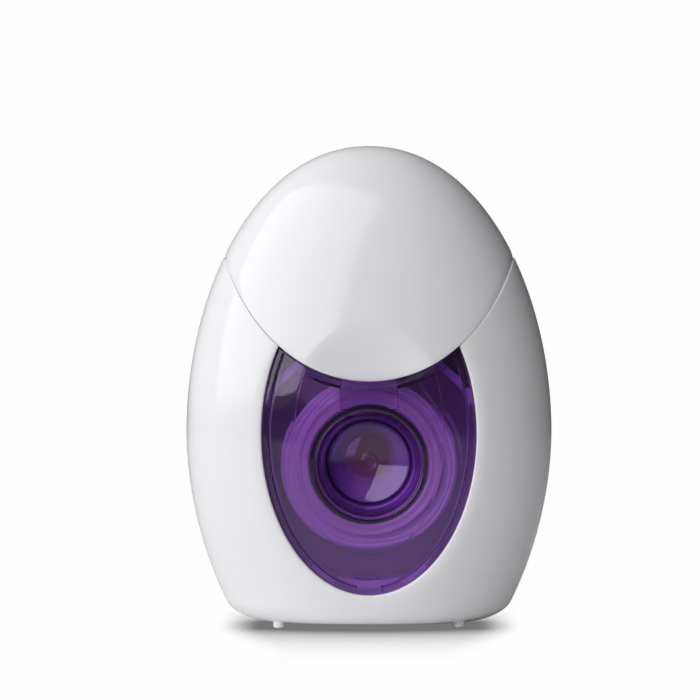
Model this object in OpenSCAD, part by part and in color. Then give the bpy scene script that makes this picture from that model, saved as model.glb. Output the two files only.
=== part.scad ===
// Egg-shaped dental floss dispenser: a white two-shell casing with a flip-up
// lid, and a clear purple window whose hollow hub carries the floss bobbin.
// Millimetres. +Z is up, the front faces -Y, and the origin is on the plane
// that the four foot pegs stand on, under the middle of the casing.

/* [Casing] */
// Greatest width of the casing
body_w = 46; // [44:1:48]
// Greatest depth of the casing
body_d = 24; // [24:0.5:26]
// Height of the top above the surface it stands on
body_h = 60.4; // [60:0.1:62]
// Wall of the two casing shells
wall = 1.5; // [1.4:0.1:1.6]
// Gap at every seam of the lid
seam_gap = 0.22; // [0.15:0.01:0.3]

/* [Lid] */
// Wall of the lid
lid_wall = 1.7; // [1.6:0.1:1.8]
// Height of the lowest point of the lid's tongue
tongue_z = 31.35; // [31:0.05:32]
// Radius of the thumb dish
dish_r = 8; // [7:0.5:8.5]
// Depth of the thumb dish below the tongue's crest
dish_depth = 0.9; // [0.6:0.1:1.0]
// Diameter of the hinge pin
pin_d = 1.2; // [1.1:0.1:1.3]
// Radial running clearance of the pin in the lid's knuckle
pin_clear = 0.05; // [0.03:0.01:0.08]

/* [Window] */
// Half width of the oval cut-out
win_a = 13.5; // [13:0.1:13.8]
// Half height of the oval cut-out
win_b = 20.3; // [20:0.1:20.5]
// Height of the middle of the cut-out
win_z = 24.65; // [24.4:0.05:24.9]
// Distance of the flat inner oval's face in front of the middle plane
flat_y = 10.8; // [10.7:0.1:10.9]

/* [Bobbin] */
// Height of the bobbin's axis
hub_z = 20.8; // [20.6:0.05:21]
// Radius of the hub post that the bobbin turns on
hub_r = 7.4; // [7.3:0.1:7.5]
// Radial running clearance of the bobbin on the post
hub_clear = 0.06; // [0.04:0.01:0.09]
// Radius of the winding; the cup has room for 13.5
wind_r = 11; // [10.5:0.25:13.5]
// Diameter of the floss
floss_d = 0.6; // [0.5:0.05:0.7]

/* [Feet] */
// Distance of each foot peg from the middle, sideways
foot_x = 11.3; // [10.5:0.1:12]
// Distance of each foot peg from the middle, front and back
foot_y = 5; // [4.5:0.1:5.5]
// Radius of a foot peg
foot_r = 0.75; // [0.7:0.05:0.9]

/* [Hidden] */

eps = 0.01;
base_z = 0.6;                 // lowest point of the crowned base
belly_z = 24.5;               // height of the greatest width
cross_n = 2.15;               // roundness of a level section
upper_h = body_h + 0.05 - belly_z;
lower_h = 35.4;
corner_h = 2.0;               // height of the rounded base corner
seam_a = 20;                  // half axes of the lid's seam, seen from the front
seam_b = 25.55;
seam_top = 46.4;              // height of the seam at the sides and the back
hinge_y = 9.9;                // the lid's hinge axis
hinge_z = 46.5;
knuckle_r = 1.4;
knuckle_in = 3.85;            // half length of the lid's knuckle
knuckle_out = 7.0;            // outer end of the casing's knuckles
deck_top = 45.6;
deck_t = 1.3;
shoulder = lid_wall + 0.6;    // how far the shoulder under the lid is inset
plate_z = 46.95;              // underside of the cutter plate
cup_r0 = 6.8;                 // mouth of the hub cup
cup_r1 = 5.3;                 // bottom of the hub cup
cup_deep = 7.0;
dish_ball = 10.65;            // radius of the hollow in the cup's bottom
post_end = 5.9;               // rear end of the hub post
post_bore = 6.0;              // the post is cored out from behind
ring_in = 14.6;               // the cup around the winding
ring_out = 15.5;
guide_x = 3.6;                // half width of the floss guide
floss_y = -1;                 // depth at which the floss leaves the winding
wind_mid = wind_r + 0.35;     // radius of the floss's middle on the winding
wind_off = 57;                // where the floss leaves it, in degrees from the top
// route of the floss, from the winding to past the cutter
floss_route = [[6.4, floss_y, 31.6], [3.3, floss_y, 36.3],
    [2.3, floss_y, 37.9], [1.3, floss_y, 40], [0.5, floss_y, 42.5], [0, floss_y, 44.6],
    [0, floss_y, 46.3], [0.15, floss_y, 47.1], [0.7, floss_y, 47.55], [1.5, floss_y, 47.5],
    [2.6, floss_y, 47.2], [4.4, floss_y, 46.8], [5.2, floss_y - 0.2, 46.45],
    [6.6, floss_y - 0.6, 46.3], [8.2, floss_y - 0.9, 46.2]];

white = [0.93, 0.93, 0.94];
purple = [0.38, 0.20, 0.58, 0.75];
steel = [0.75, 0.76, 0.78];
natural = [0.90, 0.90, 0.86];

// ---- the egg ---------------------------------------------------------------

function upper_t(z, e) = min(1, (z - belly_z) / (upper_h - e));
function lower_t(z, e) = (belly_z - z) / (lower_h - e);
// corner of the base: 0 at the pole, 1 above the corner
function corner_e(e) = max(0.5, corner_h - 0.6 * e);
function corner(z, e) = let (s = (base_z + e + corner_e(e) - z) / corner_e(e))
    s <= 0 ? 1 : s >= 1 ? 0 : pow(1 - pow(s, 2.7), 1 / 2.7);
// half width and half depth at height z of the egg shrunk by e
function half_w(z, e) = (body_w / 2 - e) * corner(z, e) *
    (z > belly_z ? pow(max(0, 1 - pow(upper_t(z, e), 1.957)), 1 / 2.087)
                 : pow(1 - pow(lower_t(z, e), 1.847), 0.5));
function half_d(z, e) = (body_d / 2 - e) * corner(z, e) *
    (z > belly_z ? pow(max(0, 1 - pow(upper_t(z, e), 2.2)), 1 / 2.2)
                 : pow(1 - pow(lower_t(z, e), 2.2), 1 / 2.2));
function spow(c) = sign(c) * pow(abs(c), 2 / cross_n);

egg_n = 56;
function ring_heights(e) = concat(
    [for (b = [72 : -18 : 18]) base_z + e + corner_e(e) * (1 - sin(b))],
    [for (k = [0 : 8]) let (z = base_z + e + corner_e(e)) z + (belly_z - z) * k / 9],
    [for (a = [0 : 6.5 : 84.5]) belly_z + (upper_h - e) * sin(a)]);

module egg(e) {
    hs = ring_heights(e);
    m = len(hs);
    rings = [for (z = hs) for (j = [0 : egg_n - 1]) let (f = 360 * j / egg_n)
        [half_w(z, e) * spow(cos(f)), half_d(z, e) * spow(sin(f)), z]];
    pts = concat(rings, [[0, 0, base_z + e], [0, 0, belly_z + upper_h - e]]);
    bottom = m * egg_n;
    faces = concat(
        [for (i = [0 : m - 2]) for (j = [0 : egg_n - 1]) let (k = (j + 1) % egg_n)
            [i * egg_n + j, (i + 1) * egg_n + j, (i + 1) * egg_n + k, i * egg_n + k]],
        [for (j = [0 : egg_n - 1]) [bottom, j, (j + 1) % egg_n]],
        [for (j = [0 : egg_n - 1])
            [bottom + 1, (m - 1) * egg_n + (j + 1) % egg_n, (m - 1) * egg_n + j]]);
    polyhedron(pts, faces, convexity = 4);
}

module egg_shell(e0, e1) difference() { egg(e0); egg(e1); }

// sculpted faces are kept together as one mesh
module sculpted() resize([0, 0, 0]) children();

// ---- outlines seen from the front -------------------------------------------

// a front outline swept through y0..y1
module through(y0, y1) translate([0, y1, 0]) rotate([90, 0, 0])
    linear_extrude(y1 - y0) children();

// everything above the lid's seam; g moves the seam down
module above_seam(g) polygon(concat(
    [for (a = [-84 : 6 : 84]) [(seam_a + g) * sin(a),
        tongue_z + seam_b - (seam_b + g) * cos(a)]], [[24, 80], [-24, 80]]));

module oval(g) translate([0, win_z]) scale([win_a + g, win_b + g]) circle(1, $fn = 72);

// the space that belongs to the lid; g moves its lower limit down
module lid_space(g) {
    through(-20, 0) above_seam(g);
    translate([-30, -eps, seam_top + 0.2 - g]) cube([60, 30, 30]);
}

module front_half() translate([-30, -30, -5]) cube([60, 30, 80]);
module rear_half() translate([-30, 0, -5]) cube([60, 30, 80]);

// ---- small parts of the pieces ------------------------------------------------

module foot_peg(sx, sy) translate([sx * foot_x, sy * foot_y, 0])
    rotate_extrude($fn = 32) polygon([[0, 0], [foot_r - 0.25, 0],
        [foot_r - 0.08, 0.08], [foot_r, 0.25], [foot_r, 1.9], [0, 1.9]]);

module hinge_bar(r, x0, x1, n = 40) translate([x0, hinge_y, hinge_z])
    rotate([0, 90, 0]) cylinder(r = r, h = x1 - x0, $fn = n);

// a web, as an outline in depth and height, extruded sideways
module web(x0, x1) translate([x0, 0, 0]) rotate([90, 0, 90])
    linear_extrude(x1 - x0) children();

module hub_axis(y) translate([0, y, hub_z]) rotate([-90, 0, 0]) children();

// ---- the casing ---------------------------------------------------------------

module front_shell() color(white) {
    union() {
        sculpted() difference() {
            intersection() { egg_shell(0, wall); front_half(); }
            lid_space(seam_gap);
            through(-20, 5) oval(0);
        }
        for (s = [-1, 1]) foot_peg(s, -1);
    }
}

module rear_shell() color(white) {
    difference() {
        union() {
            sculpted() difference() {
                intersection() { egg_shell(0, wall); rear_half(); }
                lid_space(seam_gap);
            }
            for (s = [-1, 1]) foot_peg(s, 1);
            for (x = [-knuckle_out, knuckle_in + 0.15]) {
                hinge_bar(knuckle_r, x, x + knuckle_out - knuckle_in - 0.15);
                web(x, x + knuckle_out - knuckle_in - 0.15)
                    polygon([[hinge_y - 1.1, hinge_z - 0.8], [hinge_y + knuckle_r - 0.01, hinge_z],
                        [hinge_y + 0.95, hinge_z - 3.4], [hinge_y - 0.5, hinge_z - 3.4]]);
            }
        }
        hinge_bar(knuckle_r + 0.2, -knuckle_in - 0.15, knuckle_in + 0.15);
        hinge_bar(pin_d / 2, -knuckle_out - 1, knuckle_out + 1);
    }
}

module thumb_cutter() translate([0, -(half_d(tongue_z + 2.9, 0) - dish_depth), tongue_z + 2.9])
    rotate([4.2, 0, 0]) translate([0, -20, 0]) scale([48.6, 20, 32.6]) sphere(1, $fn = 96);

module flip_lid() color(white) {
    difference() {
        union() {
            sculpted() difference() {
                intersection() { egg_shell(0, lid_wall); lid_space(0); }
                intersection() {
                    thumb_cutter();
                    through(-20, 0) translate([0, tongue_z + 2.9]) circle(dish_r, $fn = 64);
                }
            }
            hinge_bar(knuckle_r, -knuckle_in, knuckle_in);
            web(-knuckle_in, knuckle_in)
                polygon([[hinge_y - 1.1, hinge_z + 0.2], [hinge_y - 1.6, hinge_z + 3.2],
                    [hinge_y - 0.9, hinge_z + 3.2], [hinge_y + knuckle_r - 0.01, hinge_z]]);
        }
        for (x = [-knuckle_out - 0.15, knuckle_in])
            hinge_bar(knuckle_r + 0.2, x, x + knuckle_out - knuckle_in + 0.15);
        hinge_bar(pin_d / 2 + pin_clear, -knuckle_in - 1, knuckle_in + 1);
    }
}

module lid_hinge_pin() color(steel)
    hinge_bar(pin_d / 2, -knuckle_out + 0.2, knuckle_out - 0.2);

// ---- the window and the housing -------------------------------------------------

module below_seam(g) difference() {
    translate([-40, -20]) square([80, 110]);
    above_seam(g);
}

module window_cover() color(purple) {
    difference() {
        union() {
            sculpted() { difference() {
                union() {
                    // the plug that fills the oval, with its lower rim
                    intersection() {
                        union() {
                            intersection() { egg(0.35); through(-20, 0) oval(-1.1); }
                            intersection() { egg(0.75); through(-20, 0) oval(-0.12); }
                            // the snap tab at the foot of the rim
                            intersection() {
                                egg(0.35);
                                through(-20, 0) oval(-0.12);
                                translate([-1.65, -20, 0]) cube([3.3, 20, 8]);
                            }
                        }
                        through(-20, 0) below_seam(seam_gap + 0.1);
                    }
                    // the flange behind the casing
                    intersection() {
                        egg(wall + 0.1);
                        through(-20, -4) intersection() {
                            oval(1.5);
                            below_seam(-0.5);
                        }
                    }
                    // the shoulder under the lid
                    intersection() {
                        egg(shoulder);
                        through(-20, -0.1) intersection() {
                            above_seam(1.2);
                            translate([-25, 0]) square([50, deck_top - deck_t]);
                        }
                    }
                }
                intersection() { egg(2.6); through(-20, 1) below_seam(1.4); }
                egg(shoulder + 1.2);
                // the flat inner oval
                translate([-20, -30, 5]) cube([40, 30 - flat_y, 60]);
                // only the shoulder stands under the lid
                difference() {
                    through(-20, 1) above_seam(seam_gap + 0.1);
                    egg(shoulder);
                }
                // slot above the snap tab
                difference() {
                    translate([-1.9, -20, 6.35]) cube([3.8, 20, 0.35]);
                    egg(0.8);
                }
            }
            // the rib up from the hub
            translate([-guide_x, -9.57, hub_z + 6.9]) cube([2 * guide_x, 1.57, 4.2]);
            translate([-guide_x, -8.7, hub_z + 6.9]) cube([2 * guide_x, 0.7, 12.6]); }
            hub_axis(-flat_y + 0.9) cylinder(r = hub_r, h = post_end + flat_y - 0.9, $fn = 96);
        }
        // the hub cup: a cone, with a hollow dish and a flat gate mark as its bottom
        hub_axis(-flat_y - 1) rotate_extrude($fn = 96) polygon(concat([[0, 0],
            [cup_r0 + (cup_r0 - cup_r1) / cup_deep, 0]],
            [for (k = [5 : -1 : 1]) let (a = k / 5 * asin(cup_r1 / dish_ball))
                [dish_ball * sin(a), cup_deep + 2.5 - dish_ball * (1 - cos(a))]],
            [[0, cup_deep + 2.5 - dish_ball * (1 - cos(asin(cup_r1 / dish_ball) / 5))]]));
        hub_axis(-flat_y + cup_deep + 2.9) cylinder(r = post_bore, h = 20, $fn = 96);
    }
}

module inner_housing() color(purple) {
    difference() {
        union() {
            hub_axis(-6.2) cylinder(r = ring_out, h = 13.1, $fn = 96);
            // the neck that leads the floss up to the deck
            translate([-guide_x - 1, -6.2, 33])
                cube([2 * guide_x + 2, 13.1, deck_top - deck_t - 33]);
        }
        hub_axis(-8) cylinder(r = ring_in, h = 14.0, $fn = 96);
        translate([-guide_x, -8, 30]) cube([2 * guide_x, 14.0, 20]);
        translate([0, -8, 31]) cube([8.5, 14.0, 6.2]);
    }
    // spigot that centres and backs the hub post, and the boss behind it
    hub_axis(-0.7) cylinder(r = post_bore - 0.05, h = 6.7 + eps, $fn = 96);
    hub_axis(6.9 - eps) cylinder(r = 3, h = 3.4, $fn = 48);
    // foot under the cup
    translate([-6, -2, 2.4]) cube([12, 4, 3.3]);
}

// ---- the deck and its cutter ----------------------------------------------------

module top_deck() color(white) {
    difference() {
        union() {
            sculpted() intersection() {
                union() {
                    intersection() { egg(shoulder); front_half(); }
                    intersection() { egg(wall + 0.15); rear_half(); }
                }
                translate([-30, -30, deck_top - deck_t]) cube([60, 60, deck_t]);
            }
            // the floss outlet
            translate([0, floss_y, deck_top - eps]) cylinder(r1 = 1.9, r2 = 1.4, h = 1.25, $fn = 48);
        }
        translate([0, floss_y, deck_top - 5]) cylinder(r = 0.65, h = 10, $fn = 32);
        // slots for the cutter's legs
        for (y = [-3.4, 1.2]) translate([3.5, y - 0.05, deck_top - deck_t - 1])
            cube([3.6, 0.5, 4]);
    }
}

// a stamped plate on two folded legs, with a notch that pinches the floss
module floss_cutter() color(steel) {
    translate([0, 0, plate_z]) linear_extrude(0.4) polygon([[3.2, -3.4], [2.6, -2.3],
        [2.1, -1.37], [4.9, -1.36], [4.9, -0.64], [2.9, -0.62], [3.2, 1.6], [7.4, 1.6],
        [7.4, -3.4]]);
    for (y = [-3.4, 1.2]) translate([3.6, y, deck_top - deck_t]) cube([3.4, 0.4, 3]);
}

// ---- the floss ------------------------------------------------------------------

module bobbin_core() color(natural)
    hub_axis(-6.9) difference() {
        cylinder(r = 9.2, h = 12.8, $fn = 96);
        translate([0, 0, -1]) cylinder(r = hub_r + hub_clear, h = 15, $fn = 96);
    }

module floss_winding() color([0.95, 0.95, 0.93])
    hub_axis(-6.4) rotate_extrude($fn = 96) polygon([[9.2, 0], [wind_r - 0.5, 0],
        [wind_r, 0.6], [wind_r, 11.2], [wind_r - 0.5, 11.8], [9.2, 11.8]]);

// the first turn lies on the winding, then the floss follows its route
function lead_points() = concat(
    [for (a = [wind_off + 36 : -9 : wind_off]) [wind_mid * sin(a), floss_y, hub_z + wind_mid * cos(a)]],
    floss_route);
function unit(v) = v / norm(v);
function heading(p, i) = unit(p[min(i + 1, len(p) - 1)] - p[max(i - 1, 0)]);

module floss_lead() color([0.95, 0.95, 0.93]) {
    p = lead_points();
    n = len(p);
    m = 8;
    side = [0, 1, 0];
    pts = [for (i = [0 : n - 1]) let (t = heading(p, i), v = unit(side - t * (t * side)),
        u = cross(t, v)) for (j = [0 : m - 1]) let (f = 360 * j / m)
        p[i] + floss_d / 2 * (v * cos(f) + u * sin(f))];
    polyhedron(pts, concat(
        [for (i = [0 : n - 2]) for (j = [0 : m - 1]) let (k = (j + 1) % m)
            [i * m + j, i * m + k, (i + 1) * m + k, (i + 1) * m + j]],
        [[for (j = [m - 1 : -1 : 0]) j]],
        [[for (j = [0 : m - 1]) (n - 1) * m + j]]), convexity = 6);
}

front_shell();
rear_shell();
flip_lid();
lid_hinge_pin();
window_cover();
inner_housing();
top_deck();
floss_cutter();
bobbin_core();
floss_winding();
floss_lead();
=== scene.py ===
"""Studio scene of an egg-shaped dental floss dispenser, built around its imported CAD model.
Shapes are worked out in millimetres and put into Blender in metres."""
import math
import bmesh
import bpy
import numpy as np
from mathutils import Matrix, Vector


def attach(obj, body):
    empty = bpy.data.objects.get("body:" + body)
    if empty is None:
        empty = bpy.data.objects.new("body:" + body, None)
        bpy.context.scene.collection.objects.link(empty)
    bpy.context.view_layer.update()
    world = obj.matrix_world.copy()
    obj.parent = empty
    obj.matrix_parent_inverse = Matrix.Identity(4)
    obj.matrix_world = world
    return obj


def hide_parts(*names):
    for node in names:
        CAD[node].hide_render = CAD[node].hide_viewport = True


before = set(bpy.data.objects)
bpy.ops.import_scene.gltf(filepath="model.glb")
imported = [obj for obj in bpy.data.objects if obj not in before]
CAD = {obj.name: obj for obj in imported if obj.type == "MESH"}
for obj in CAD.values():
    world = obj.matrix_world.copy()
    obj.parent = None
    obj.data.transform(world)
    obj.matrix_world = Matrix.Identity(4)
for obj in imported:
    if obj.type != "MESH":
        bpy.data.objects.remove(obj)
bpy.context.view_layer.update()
scene = bpy.context.scene

# ---------------------------------------------------------------- the egg, in millimetres
BW, BD, BELLY, BASE, POW = 23.0, 12.0, 24.5, 0.6, 2.15
UP, LOW = 35.95, 35.4
WALL, LID_WALL = 1.5, 1.7
LID_G, CASE_G = 0.10, 0.125          # the two sides of the lid's seam
SEAM_A, SEAM_B, SEAM_Z = 20.0, 25.55, 56.9
SEAM_TOP = 46.4
WIN_A, WIN_B, WIN_Z = 13.5, 20.3, 24.65
FLAT = -10.8
HUB_Z = 20.8
POST_R, BORE_R, CUP_0, CUP_1 = 7.4, 6.0, 6.8, 5.3
HINGE_Y, HINGE_Z = 9.9, 46.5
CENTRE = np.array([0.0, 0.0, BELLY])


def corner(z, e, wide, tall, power):
    """How far the casing is rounded in at height z, over its base."""
    wide, tall = max(0.8, wide - e), max(0.5, tall - 0.6 * e)
    s = np.clip((BASE + e + tall - z) / tall, 0, 1)
    return wide * (1 - (1 - s ** power) ** (1 / power))


def half_w(z, e=0.0):
    z = np.asarray(z, float)
    u = np.clip((z - BELLY) / (UP - e), 0, 1)
    l = np.clip((BELLY - z) / (LOW - e), 0, 1)
    return (BW - e) * np.where(
        z > BELLY, (1 - u ** 1.957) ** (1 / 2.087), (1 - l ** 1.847) ** 0.5) \
        - corner(z, e, 4.4, 2.45, 2.0)


def half_d(z, e=0.0):
    z = np.asarray(z, float)
    u = np.clip((z - BELLY) / (UP - e), 0, 1)
    l = np.clip((BELLY - z) / (LOW - e), 0, 1)
    return (BD - e) * np.where(
        z > BELLY, (1 - u ** 2.2) ** (1 / 2.2), (1 - l ** 2.2) ** (1 / 2.2)) \
        - corner(z, e, 1.3, 1.3, 2.4)


def front_y(x, z, e=0.0):
    w = np.maximum(half_w(z, e), 1e-6)
    a = np.clip(1 - np.abs(np.asarray(x, float) / w) ** POW, 0, 1)
    return -half_d(z, e) * a ** (1 / POW)


def level(p, e):
    x, y, z = p[..., 0], p[..., 1], p[..., 2]
    w, d = np.maximum(half_w(z, e), 1e-9), np.maximum(half_d(z, e), 1e-9)
    f = np.minimum(np.abs(x / w), 50) ** POW + np.minimum(np.abs(y / d), 50) ** POW
    return np.where((z <= BASE + e) | (z >= BELLY + UP - e), 99.0, f)


def hit(start, way, e, far=45.0):
    """The point where a line from inside leaves the egg shrunk by e."""
    lo, hi = np.zeros(way.shape[:-1]), np.full(way.shape[:-1], far)
    for _ in range(46):
        mid = (lo + hi) / 2
        inside = level(start + way * mid[..., None], e) < 1
        lo, hi = np.where(inside, mid, lo), np.where(inside, hi, mid)
    return start + way * lo[..., None]


def on_egg(way, e=0.0):
    return hit(CENTRE, unit(way), e)


def unit(v):
    return v / np.maximum(np.linalg.norm(v, axis=-1, keepdims=True), 1e-12)


def outward(p, e=0.0, h=2e-3):
    """Unit normal of the egg at points on it."""
    q = CENTRE + (p - CENTRE) * 0.9995
    g = np.stack([level(q + h * a, e) - level(q - h * a, e) for a in np.eye(3)], -1)
    return unit(g)


def slerp(a, b, v):
    """Directions from a to b, which are unit rows; v is a list of shares."""
    ang = np.arccos(np.clip((a * b).sum(-1), -1, 1))[:, None]
    v = np.asarray(v)
    if v.ndim == 1:
        v = v[None, :]
    s = np.maximum(np.sin(ang), 1e-9)
    return (np.sin((1 - v) * ang) / s)[..., None] * a[:, None] + \
        (np.sin(v * ang) / s)[..., None] * b[:, None]


def even(curve, n, closed=False):
    """n points evenly spaced along a polyline."""
    c = np.vstack([curve, curve[:1]]) if closed else curve
    s = np.r_[0, np.cumsum(np.linalg.norm(np.diff(c, axis=0), axis=1))]
    t = np.linspace(0, s[-1], n, endpoint=not closed)
    return np.stack([np.interp(t, s, c[:, k]) for k in range(c.shape[1])], 1)


def smooth(a, b, x):
    t = np.clip((x - a) / (b - a), 0, 1)
    return t * t * (3 - 2 * t)


def bend(p0, p1, p2, n):
    """n points of a rounded corner, both ends in it; rows first."""
    t = np.linspace(0, 1, n)[:, None, None]
    return (1 - t) ** 2 * p0 + 2 * t * (1 - t) * p1 + t * t * p2


# ---------------------------------------------------------------- meshes
def skin(rings, closed=True, first=0):
    r, n = rings.shape[:2]
    i, j = np.meshgrid(np.arange(r - 1), np.arange(n if closed else n - 1), indexing="ij")
    k = (j + 1) % n
    q = np.stack([i * n + j, i * n + k, (i + 1) * n + k, (i + 1) * n + j], -1).reshape(-1, 4)
    return (q + first).tolist()


def zip_cap(row, n, first=0):
    """Closes a ring of 2m points whose second half runs back under the first."""
    b = first + row * n
    return [[b + j, b + j + 1, b + n - 2 - j, b + n - 1 - j] for j in range(n // 2 - 1)]


def clean(me, angle=32):
    bm = bmesh.new()
    bm.from_mesh(me)
    bmesh.ops.remove_doubles(bm, verts=bm.verts, dist=1.5e-6)
    bmesh.ops.dissolve_degenerate(bm, dist=1e-7, edges=bm.edges)
    loose = [v for v in bm.verts if not v.link_faces]
    bmesh.ops.delete(bm, geom=loose, context="VERTS")
    bmesh.ops.recalc_face_normals(bm, faces=bm.faces)
    lim = math.radians(angle)
    for f in bm.faces:
        f.smooth = True
    for e in bm.edges:
        e.smooth = not (len(e.link_faces) == 2 and e.calc_face_angle(0) > lim)
    bm.to_mesh(me)
    bm.free()


def solid(name, pts, faces, mats, angle=32):
    me = bpy.data.meshes.new(name)
    me.from_pydata((np.asarray(pts).reshape(-1, 3) * 0.001).tolist(), [], faces)
    clean(me, angle)
    o = bpy.data.objects.new(name, me)
    scene.collection.objects.link(o)
    for m in mats:
        me.materials.append(m)
    return o


def boolean(o, cutters, op, angle=32):
    for c in cutters:
        m = o.modifiers.new("b", "BOOLEAN")
        m.operation, m.object, m.solver = op, c, "EXACT"
        dg = bpy.context.evaluated_depsgraph_get()
        me = bpy.data.meshes.new_from_object(o.evaluated_get(dg))
        o.modifiers.clear()
        old = o.data
        o.data = me
        bpy.data.meshes.remove(old)
        me.name = o.name
        bpy.data.objects.remove(c)
    clean(o.data, angle)


def turned(name, profile, n, axis="x", at=(0, 0, 0), mats=(), angle=32):
    """A closed profile of (along, radius) turned round an axis."""
    f = np.linspace(0, 2 * math.pi, n, endpoint=False)
    pts = []
    for a, r in profile:
        c, s = r * np.cos(f), r * np.sin(f)
        z = np.full(n, a)
        pts.append(np.stack({"x": [z, c, s], "y": [c, z, s], "z": [c, s, z]}[axis], 1) + at)
    return solid(name, np.array(pts), skin(np.array(pts)), mats, angle)


def prism(name, outline, x0, x1, mats=(), bevel=0.0):
    """An outline in (y, z) extruded along x."""
    n = len(outline)
    pts = [(x, y, z) for x in (x0, x1) for y, z in outline]
    faces = [list(range(n))[::-1], list(range(n, 2 * n))] + \
        [[j, (j + 1) % n, n + (j + 1) % n, n + j] for j in range(n)]
    o = solid(name, pts, faces, mats)
    if bevel:
        round_edges(o, bevel, 3)
        apply_all(o)
    return o


def round_edges(o, width, segments=3, angle=30):
    m = o.modifiers.new("edge", "BEVEL")
    m.width, m.segments, m.limit_method = width * 0.001, segments, "ANGLE"
    m.angle_limit = math.radians(angle)
    m.harden_normals = False
    m.use_clamp_overlap = True
    return m


def apply_all(o, angle=32):
    dg = bpy.context.evaluated_depsgraph_get()
    me = bpy.data.meshes.new_from_object(o.evaluated_get(dg))
    o.modifiers.clear()
    old = o.data
    o.data = me
    bpy.data.meshes.remove(old)
    clean(o.data, angle)


# ---------------------------------------------------------------- the lid's seam
def seam_front(g, n=700, e=0.0):
    """The seam's front run on the egg, from one silhouette to the other; g moves it down."""
    a = np.radians(np.linspace(0, 80, 6000))
    x, z = (SEAM_A + g) * np.sin(a), SEAM_Z - (SEAM_B + g) * np.cos(a)
    k = np.argmax(x >= half_w(z, e))
    a = np.linspace(-a[k], a[k], n)
    x, z = (SEAM_A + g) * np.sin(a), SEAM_Z - (SEAM_B + g) * np.cos(a)
    y = front_y(x, z, e)
    y[0] = y[-1] = 0.0
    x[0], x[-1] = -half_w(z[0], e), half_w(z[-1], e)
    return np.stack([x, y, z], 1)


def seam_back(z_side, z_back, n=500, e=0.0):
    """The rear run, from the right silhouette round the back to the left one."""
    f = np.linspace(0, math.pi, n)
    z = z_back + (z_side - z_back) * (1 - smooth(0, 0.35, np.minimum(f, math.pi - f)))
    c, s = np.cos(f), np.sin(f)
    return np.stack([half_w(z, e) * np.sign(c) * np.abs(c) ** (2 / POW),
                     half_d(z, e) * np.abs(s) ** (2 / POW), z], 1)


def wall_way(p):
    """The direction in which a seam's wall runs inwards: straight back in front,
    level and square to the shell at the sides and behind."""
    n = outward(p)
    n[:, 2] = 0
    n = unit(n)
    w = np.where(p[:, 1] > 0, 1, smooth(11.0, 17.5, np.abs(p[:, 0])))[:, None]
    return unit((1 - w) * np.array([0, 1.0, 0]) - w * n)


def to_inner(p, way, e):
    """Where the seam's wall meets the inner surface, or a fixed depth if it never does."""
    t = np.linspace(0.2, 6, 600)
    f = level(p[None] + way[None] * t[:, None, None], e)
    k = np.argmax(f < 1, axis=0)
    return p + way * t[k][:, None]


# ---------------------------------------------------------------- the thumb dish
DISH_Z, DISH_R, DISH_D = 34.25, 8.0, 0.9


def dish(p):
    """How far the dish sinks a point of the lid, along +Y."""
    x, z = p[..., 0], p[..., 2] - DISH_Z
    vy = -(float(half_d(DISH_Z)) - DISH_D)
    t = math.radians(4.2)
    # the hollow is part of an ellipsoid that leans back a little
    best = np.full(x.shape, vy)
    for _ in range(12):
        yy, zz = best - vy, z
        yl = yy * math.cos(t) + zz * math.sin(t)
        zl = -yy * math.sin(t) + zz * math.cos(t)
        r = 1 - (x / 48.6) ** 2 - (zl / 32.6) ** 2
        want = -20 + 20 * np.sqrt(np.clip(r, 0, 1))
        best = best + (want - yl) / math.cos(t)
    sink = best - front_y(x, p[..., 2])
    rho = np.hypot(x, z)
    # no crease round the hollow
    k = 0.6
    sink = np.maximum(sink, 0)
    sink = sink ** 2 / (sink + k) * (DISH_D + k) / DISH_D
    sink = sink * (1 - smooth(DISH_R - 0.25, DISH_R + 0.55, rho))
    return np.where(p[..., 1] < 0, np.maximum(sink, 0), 0)


# ---------------------------------------------------------------- shells
def roll_in(p):
    """How far the lid's surface turns in at its edge; most at the sides."""
    return 0.06 + 0.15 * smooth(13.5, 18.5, np.abs(p[..., 0]))


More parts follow.
